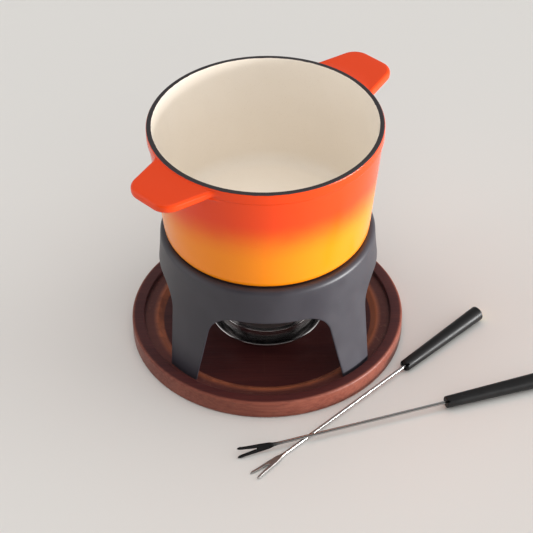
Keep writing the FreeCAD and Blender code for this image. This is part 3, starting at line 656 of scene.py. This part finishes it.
steel, tree, shader, place = new_finish("polished_stainless")
axis = use_group(tree, round_axis, Place=place)
lines_place = add(tree, "ShaderNodeCombineXYZ", {0: times(tree, axis["Turn"], 1.3),
                                                 1: times(tree, axis["Reach"], 2600.0),
                                                 2: times(tree, axis["Height"], 2600.0)}).outputs[0]
lines = noise(tree, lines_place, 1.0, 3.0, 0.6)
wear = use_group(tree, rubbing, Place=place, **{"Patch Size": 70.0, "Cover": 0.55})
smears = noise(tree, place, 45.0, 4.0, 0.6, 0.5)
colour = mixed(tree, smears, (0.54, 0.525, 0.525, 1), (0.58, 0.568, 0.565, 1))
gloss = math_node(tree, "ADD", between(tree, smears, 0.3, 0.7, 0.17, 0.21),
                  times(tree, wear["Scratches"], 0.06))
gloss = math_node(tree, "ADD", gloss, times(tree, lines, 0.04))
feed(tree, shader, Base_Color=colour, Roughness=gloss, Normal=bump(tree, lines, 0.04, 0.00001))
shader.inputs["Metallic"].default_value = 1.0


def give_finish(node, finish):
    """A piece that keeps the shape it was designed with takes a finish."""
    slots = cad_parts[node].data.materials
    slots.clear()
    slots.append(finish)


for node in ("burner_saucer", "fuel_cup", "burner_cover", "regulator_ring", "lever_strip", "lever_rivets",
             "snuffer_lid", "snuffer_screw"):
    give_finish(node, steel)


# Wick: a pad of mineral wool that soaks up the fuel, with a disc of woven wire over it that
# stops it lifting. Both lie loose in the cup, held down by the cap.

wool_low, wool_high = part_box("wick_wadding")[0].z / MM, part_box("wick_wadding")[1].z / MM
wool_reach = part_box("wick_wadding")[1].x / MM
wool_outline = [Vector((wool_reach * step / 12 * 0.86, wool_low)) for step in range(12)]
wool_outline += rounded([(0, wool_low, 0), (wool_reach, wool_low, 2.5), (wool_reach, wool_high - 0.5, 2.5),
                         (0, wool_high - 0.5, 0)], 5)[1:-1]
wool_outline += [Vector((wool_reach * (1 - step / 26) * 0.90, wool_high - 0.5)) for step in range(27)]
wool_outline[-1].x = 0
wool = turn_piece("wick_wool_pad", wool_outline, 160)
draw = random.Random(41)
lumps = [(draw.uniform(-30, 30), draw.uniform(-30, 30), draw.uniform(2, 6), draw.uniform(-0.5, 0.3))
         for lump in range(150)]
for vertex in wool.data.vertices:
    spot = vertex.co / MM
    if spot.z > wool_high - 1.2:
        rise = sum(size * math.exp(-((spot.x - x) ** 2 + (spot.y - y) ** 2) / width ** 2)
                   for x, y, width, size in lumps)
        vertex.co.z += max(-0.6, min(0.45, rise)) * MM
woolly, tree, shader, place = new_finish("mineral_wool")
fibres = noise(tree, place, 700.0, 6.0, 0.7, 2.5)
colour = mixed(tree, between(tree, fibres, 0.35, 0.65), (0.50, 0.47, 0.41, 1), (0.80, 0.78, 0.73, 1))
feed(tree, shader, Base_Color=colour, Normal=bump(tree, fibres, 0.8, 0.0006))
shader.inputs["Roughness"].default_value = 0.95
wool.data.materials.append(woolly)
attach(wool, "burner")
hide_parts("wick_wadding")

gauze_low, gauze_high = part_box("wick_gauze")[0].z / MM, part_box("wick_gauze")[1].z / MM
gauze_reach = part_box("wick_gauze")[1].x / MM
gauze_middle = (gauze_low + gauze_high) / 2
wire_pitch, wire_reach, wire_sides = 1.5, 0.19, 5
points, faces = [], []
wire_count = int(gauze_reach / wire_pitch)
for direction in (0, 1):
    for wire in range(-wire_count, wire_count + 1):
        aside = wire * wire_pitch
        half_run = math.sqrt(max(0.0, (gauze_reach - wire_reach) ** 2 - aside ** 2))
        if half_run < 2:
            continue
        steps = max(6, int(half_run * 2 / (wire_pitch / 4)))
        start = len(points)
        for step in range(steps + 1):
            along = -half_run + 2 * half_run * step / steps
            wave = math.cos(math.pi * along / wire_pitch) * (1 if (wire + direction) % 2 else -1)
            centre = (along, aside) if direction == 0 else (aside, along)
            for side_step in range(wire_sides):
                angle = math.tau * side_step / wire_sides
                sideways, up = wire_reach * math.cos(angle), wire_reach * math.sin(angle)
                lift = gauze_middle + wave * wire_reach * 0.9 + up
                if direction == 0:
                    points.append((centre[0], centre[1] + sideways, lift))
                else:
                    points.append((centre[0] + sideways, centre[1], lift))
        for row in range(steps):
            near, far = start + row * wire_sides, start + (row + 1) * wire_sides
            for side_step in range(wire_sides):
                beside = (side_step + 1) % wire_sides
                faces.append((near + side_step, near + beside, far + beside, far + side_step))
        faces.append(tuple(start + step for step in range(wire_sides)))
        faces.append(tuple(start + steps * wire_sides + step for step in range(wire_sides)))
gauze = new_piece("wick_wire_gauze", points, faces, 60)
wire, tree, shader, place = new_finish("gauze_wire")
tarnish = noise(tree, place, 120.0, 4.0, 0.6)
feed(tree, shader, Base_Color=mixed(tree, tarnish, (0.36, 0.34, 0.32, 1), (0.60, 0.58, 0.55, 1)),
     Roughness=between(tree, tarnish, 0.3, 0.7, 0.30, 0.45))
shader.inputs["Metallic"].default_value = 1.0
gauze.data.materials.append(wire)
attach(gauze, "burner")
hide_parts("wick_gauze")


# Lever grip and snuffer knob: black phenolic, moulded. The grip is pressed on the shutter's
# lever, and the knob is screwed to the snuffer's lid, so neither gets hot.

phenolic, tree, shader, place = new_finish("black_phenolic")
skin = use_group(tree, skin_relief, Place=place, Fine=1100.0, Broad=150.0, **{"Broad Share": 0.8})
wear = use_group(tree, rubbing, Place=place, **{"Patch Size": 90.0, "Cover": 0.5})
colour = mixed(tree, skin["Mottle"], (0.012, 0.011, 0.011, 1), (0.022, 0.021, 0.021, 1))
feed(tree, shader, Base_Color=mixed(tree, times(tree, wear["Scratches"], 0.4), colour,
                                    (0.09, 0.088, 0.085, 1)),
     Roughness=between(tree, skin["Mottle"], 0.3, 0.7, 0.30, 0.42),
     Normal=bump(tree, skin["Height"], 0.15, 0.00006))
for node in ("lever_grip", "snuffer_knob"):
    give_finish(node, phenolic)


# ---------------------------------------------------------------- forks
# Forks: a round steel rod whose end is forged flat and split into two barbed prongs. The black
# plastic handle is moulded on the rod, its front end slotted crosswise, and a plug in its back
# end has one colour for each guest. One fork lies on the table and the other across it.

fork_length, rod_reach, rod_in_grip = 230.0, 1.2, 45.0
front_reach, back_reach, plug_reach, plug_depth = 4.3, 5.6, 4.4, 6.0
slot_half, slot_depth, around_handle = 0.85, 2.3, 8.0
prong_half, tip_half, forged_crease = 0.70, 0.34, 0.55
# where each tip lies, the way the fork points, its rise, its blade's roll, where its grip starts
fork_places = {
    "a": (Vector((-10.9, -156.5, 1.2)), 43.2, 1.21, -6.0, 150.0),
    "b": (Vector((-22.2, -138.2, 4.75)), 17.24, 0.30, 78.0, 154.0),
}

# fork b's blade is painted near black, a painted dark reflection and shade, and both blades have gone dull
fork_steels = {}
for letter, painted_dark_share in (("a", 0.0), ("b", 0.97)):
    fork_steels[letter], tree, shader, place = new_finish(f"fork_steel_{letter}")
    draw_lines = noise(tree, stretched(tree, place, 30, 2400, 2400), 1.0, 3.0, 0.6)
    wear = use_group(tree, rubbing, Place=place, **{"Patch Size": 110.0, "Cover": 0.5})
    colour = mixed(tree, draw_lines, (0.37, 0.365, 0.36, 1), (0.47, 0.463, 0.457, 1))
    along = add(tree, "ShaderNodeSeparateXYZ", {0: place}).outputs[0]
    cloud = times(tree, math_node(tree, "SUBTRACT", noise(tree, place, 160.0, 3.0), 0.5), 0.012)
    # painted dark reflection and shade on fork b's blade
    painted_dark_blade = between(tree, math_node(tree, "ADD", along, cloud), 0.024, 0.034, painted_dark_share, 0.0)
    colour = mixed(tree, painted_dark_blade, colour, (0.010, 0.010, 0.011, 1))
    gloss = math_node(tree, "ADD", between(tree, draw_lines, 0.3, 0.7, 0.16, 0.24),
                      times(tree, wear["Scratches"], 0.2))
    gloss = math_node(tree, "ADD", gloss, between(tree, along, 0.020, 0.034, 0.30, 0.0))
    feed(tree, shader, Base_Color=colour, Roughness=gloss, Normal=bump(tree, draw_lines, 0.06, 0.00002))
    shader.inputs["Metallic"].default_value = 1.0

handle_plastic, tree, shader, place = new_finish("black_handle_plastic")
skin = use_group(tree, skin_relief, Place=place, Fine=1700.0, Broad=120.0, **{"Broad Share": 0.6})
wear = use_group(tree, rubbing, Place=place, **{"Patch Size": 80.0, "Cover": 0.5})
colour = mixed(tree, skin["Mottle"], (0.0040, 0.0040, 0.0042, 1), (0.0070, 0.0070, 0.0072, 1))
shader.inputs["Specular IOR Level"].default_value = 0.28
feed(tree, shader, Base_Color=mixed(tree, times(tree, wear["Scratches"], 0.3), colour,
                                    (0.07, 0.07, 0.07, 1)),
     Roughness=between(tree, skin["Mottle"], 0.3, 0.7, 0.36, 0.46),
     Normal=bump(tree, skin["Height"], 0.35, 0.00010))

# the colour caps are the same plastic in two colours
for letter, low_colour, high_colour in (("a", (0.62, 0.36, 0.012, 1), (0.80, 0.50, 0.020, 1)),
                                        ("b", (0.010, 0.050, 0.24, 1), (0.018, 0.085, 0.34, 1))):
    cap_plastic, tree, shader, place = new_finish(f"cap_plastic_{letter}")
    skin = use_group(tree, skin_relief, Place=place, Fine=1500.0, Broad=300.0, **{"Broad Share": 0.6})
    feed(tree, shader, Base_Color=mixed(tree, skin["Mottle"], low_colour, high_colour),
         Roughness=between(tree, skin["Mottle"], 0.3, 0.7, 0.30, 0.40),
         Normal=bump(tree, skin["Height"], 0.15, 0.00006))
    give_finish(f"fork_{letter}_cap", cap_plastic)

# the prongs' half plan: (along, outer edge, inner edge), up to the barb and the tip
prong_steps = [(12.6, 3.15, 0.85), (9.0, 3.40, 1.45), (5.2, 3.75, 2.05), (3.3, 3.95, 2.35),
               (2.9, 4.25, 2.42), (1.4, 4.10, 2.75), (0.0, 3.75, 3.35)]
blade_steps = [(14.2, 3.05, 0.68, 0.72), (15.6, 2.95, 0.62, 0.74), (18.5, 2.65, 0.60, 0.78),
               (22.0, 2.20, 0.60, 0.90), (25.5, 1.65, 0.50, 1.08)]

for letter, (tip, heading, rise, roll, grip_start) in fork_places.items():
    lying = (Matrix.Translation(tip * MM) @ Matrix.Rotation(math.radians(heading), 4, "Z")
             @ Matrix.Rotation(math.radians(-rise), 4, "Y"))
    points, faces = [], []
    # smoothing draws the eight-sided rod in, so it starts a little wide
    rod_cage = 1.27 * 0.84 * rod_reach
    sections = [[(along, y, z) for z in (half, -half) for y in ((-outer, -inner, inner, outer)
                                                               if z > 0 else (outer, inner, -inner, -outer))]
                for along, outer, inner, half in blade_steps]
    rod_end = grip_start + rod_in_grip
    for along in (29.0, 32.0, 60.0, 100.0, grip_start - 2.0, grip_start + 2.0, rod_end - 1.0, rod_end):
        sections.append([(along, -rod_cage * math.cos(math.radians(22.5 + 45 * step)),
                          rod_cage * math.sin(math.radians(22.5 + 45 * step)))
                         for step in range(8)])
    for section in sections:
        points += section
    for row in range(len(sections) - 1):
        for step in range(8):
            beside = (step + 1) % 8
            faces.append((row * 8 + step, row * 8 + beside, (row + 1) * 8 + beside, (row + 1) * 8 + step))
    last = (len(sections) - 1) * 8
    faces.append(tuple(last + step for step in range(8)))
    faces.append((1, 2, 5, 6))
    crisp = []
    for side_sign, ring in ((-1, (0, 1, 6, 7)), (1, (3, 2, 5, 4))):
        before = ring
        for along, outer, inner in prong_steps:
            half = prong_half if along > 1 else tip_half
            start = len(points)
            points += [(along, side_sign * outer, half), (along, side_sign * inner, half),
                       (along, side_sign * inner, -half), (along, side_sign * outer, -half)]
            now = (start, start + 1, start + 2, start + 3)
            for step in range(4):
                beside = (step + 1) % 4
                faces.append((before[step], before[beside], now[beside], now[step]))
            crisp += [(before[step], now[step]) for step in range(4)]
            before = now
        faces.append(before)
    tines = new_piece(f"fork_{letter}_forged_tines", points, faces, 180)
    tines.data.shade_smooth()
    creases = tines.data.attributes.new("crease_edge", "FLOAT", "EDGE")
    wanted = {frozenset(pair) for pair in crisp}
    for row in range(len(blade_steps) - 1):
        for step in (0, 3, 4, 7):
            wanted.add(frozenset((row * 8 + step, (row + 1) * 8 + step)))
    for edge in tines.data.edges:
        if frozenset(edge.vertices) in wanted:
            creases.data[edge.index].value = forged_crease
    subdivide = tines.modifiers.new("forged_smooth", "SUBSURF")
    subdivide.levels = subdivide.render_levels = 3
    tines.matrix_world = lying @ Matrix.Rotation(math.radians(roll), 4, "X")
    tines.data.materials.append(fork_steels[letter])
    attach(tines, f"fork_{letter}")
    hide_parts(f"fork_{letter}_tines")

    # handle: turned round the fork's own X axis, then slotted
    fit = 0.05
    section = [Vector((rod_end + fit, 0))]
    section += rounded([(rod_end + fit, rod_reach + fit, 0), (grip_start, rod_reach + fit, 0.15),
                        (grip_start, front_reach, 1.1), (fork_length, back_reach, 0.85),
                        (fork_length, plug_reach, 0.2), (fork_length - plug_depth, plug_reach, 0)], 6)
    section.append(Vector((fork_length - plug_depth, 0)))
    body_run = []
    for index, spot in enumerate(section):
        body_run.append(spot)
        following = section[min(index + 1, len(section) - 1)]
        if (following - spot).length > 40 and spot.y > 3:
            body_run += [spot.lerp(following, step / 10) for step in range(1, 10)]
    turns = 72
    points = [(along, reach * math.cos(math.tau * step / turns), reach * math.sin(math.tau * step / turns))
              for along, reach in body_run for step in range(turns)]
    handle = new_piece(f"fork_{letter}_moulded_handle", points, ring_faces(len(body_run), turns), 35, 0.001)
    for slot_turn in (45, 135):
        corners = [(x, y, z) for x in (grip_start - 3, grip_start + slot_depth)
                   for y in (-slot_half, slot_half) for z in (-around_handle, around_handle)]
        blade = new_piece("slot_cutter", corners, [(0, 1, 3, 2), (4, 5, 7, 6), (0, 1, 5, 4),
                                                   (2, 3, 7, 6), (0, 2, 6, 4), (1, 3, 7, 5)])
        blade.data.transform(Matrix.Rotation(math.radians(slot_turn), 4, "X"))
        cut = handle.modifiers.new("slot", "BOOLEAN")
        cut.operation, cut.object, cut.solver = "DIFFERENCE", blade, "EXACT"
        bpy.context.view_layer.objects.active = handle
        bpy.ops.object.modifier_apply(modifier=cut.name)
        bpy.data.objects.remove(blade)
    handle.data.shade_smooth()
    handle.data.set_sharp_from_angle(angle=math.radians(35))
    handle.matrix_world = lying
    handle.data.materials.clear()
    handle.data.materials.append(handle_plastic)
    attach(handle, f"fork_{letter}")
    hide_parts(f"fork_{letter}_handle")


# ---------------------------------------------------------------- table, light and camera
# The set stands on a plain pale table top. Wide soft lights hang over it and in front of it, a
# low panel stands on its right, and the room is pale at the sides and dark in front.

table = new_piece("table_top", [(-2500, -2500, 0), (2500, -2500, 0), (2500, 2500, 0), (-2500, 2500, 0)],
                  [(0, 1, 2, 3)])
pale, tree, shader, place = new_finish("pale_table")
cloudy = noise(tree, place, 3.0, 2.0)
feed(tree, shader, Base_Color=mixed(tree, cloudy, (0.752, 0.738, 0.708, 1), (0.762, 0.748, 0.718, 1)))
shader.inputs["Roughness"].default_value = 0.75
shader.inputs["Specular IOR Level"].default_value = 0.2
table.data.materials.append(pale)

room = bpy.data.worlds.new("pale_room")
room.use_nodes = True
tree = room.node_tree
toward = add(tree, "ShaderNodeTexCoord").outputs["Generated"]
facing = add(tree, "ShaderNodeSeparateXYZ", {0: toward}).outputs
behind = times(tree, between(tree, facing[1], 0.25, 0.62), between(tree, facing[2], 0.66, 0.90, 1.0, 0.0))
ahead = times(tree, between(tree, facing[1], -0.50, -0.15, 1.0, 0.0), between(tree, facing[2], 0.22, 0.42))
aside = between(tree, math_node(tree, "ABSOLUTE", facing[0]), 0.45, 0.85)
walls = mixed(tree, aside, (1.0, 0.985, 0.97, 1), (2.6, 2.57, 2.55, 1))
walls = mixed(tree, behind, walls, (0.80, 0.79, 0.80, 1))
walls = mixed(tree, ahead, walls, (0.10, 0.098, 0.098, 1))
tree.links.new(walls, tree.nodes["Background"].inputs["Color"])
tree.nodes["Background"].inputs["Strength"].default_value = 0.50
bpy.context.scene.world = room


def soft_light(name, kind, where, aim, energy, **settings):
    lamp = bpy.data.lights.new(name, kind)
    lamp.energy = energy
    for key, setting in settings.items():
        setattr(lamp, key, setting)
    holder = bpy.data.objects.new(name, lamp)
    holder.location = where
    holder.rotation_euler = (Vector(aim) - Vector(where)).to_track_quat("-Z", "Y").to_euler()
    bpy.context.scene.collection.objects.link(holder)
    return holder


# the two wide lights are out of sight of polished surfaces, which show the dark front of the room
for name, where, energy, spread in (("sky_panel", (0.10, 0.0, 1.4), 0.93, 80),
                                    ("front_panel", (0.25, -1.0, 0.85), 0.72, 60)):
    panel = soft_light(name, "SUN", where, (0, 0, 0.05), energy, angle=math.radians(spread))
    panel.visible_glossy = False
side = soft_light("side_panel", "AREA", (1.5, -0.45, 0.14), (0, 0, 0.1), 47.0,
                  shape="RECTANGLE", size=0.9, size_y=0.34)
# the side panel is flagged off the table top and the burner
burner_steel = [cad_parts[node] for node in ("burner_saucer", "fuel_cup", "burner_cover",
                                                  "regulator_ring", "snuffer_lid")]
flagged = bpy.data.collections.new("flagged_from_side_panel")
for thing in (table, wool, gauze, *burner_steel):
    flagged.objects.link(thing)
for thing in flagged.collection_objects:
    thing.light_linking.link_state = "EXCLUDE"
side.light_linking.receiver_collection = flagged

camera_data = bpy.data.cameras.new("camera")
camera_data.sensor_width = 36.0
camera_data.lens = 120.38
camera = bpy.data.objects.new("camera", camera_data)
bpy.context.scene.collection.objects.link(camera)
camera_place, looks_down, leans = (0.0, -0.98917, 0.89416), 40.297, -0.889
camera.matrix_world = (Matrix.Translation(camera_place)
                       @ Matrix.Rotation(math.radians(90 - looks_down), 4, "X")
                       @ Matrix.Rotation(math.radians(leans), 4, "Z"))
bpy.context.scene.camera = camera
bpy.context.scene.view_settings.view_transform = "Standard"

bpy.context.view_layer.update()
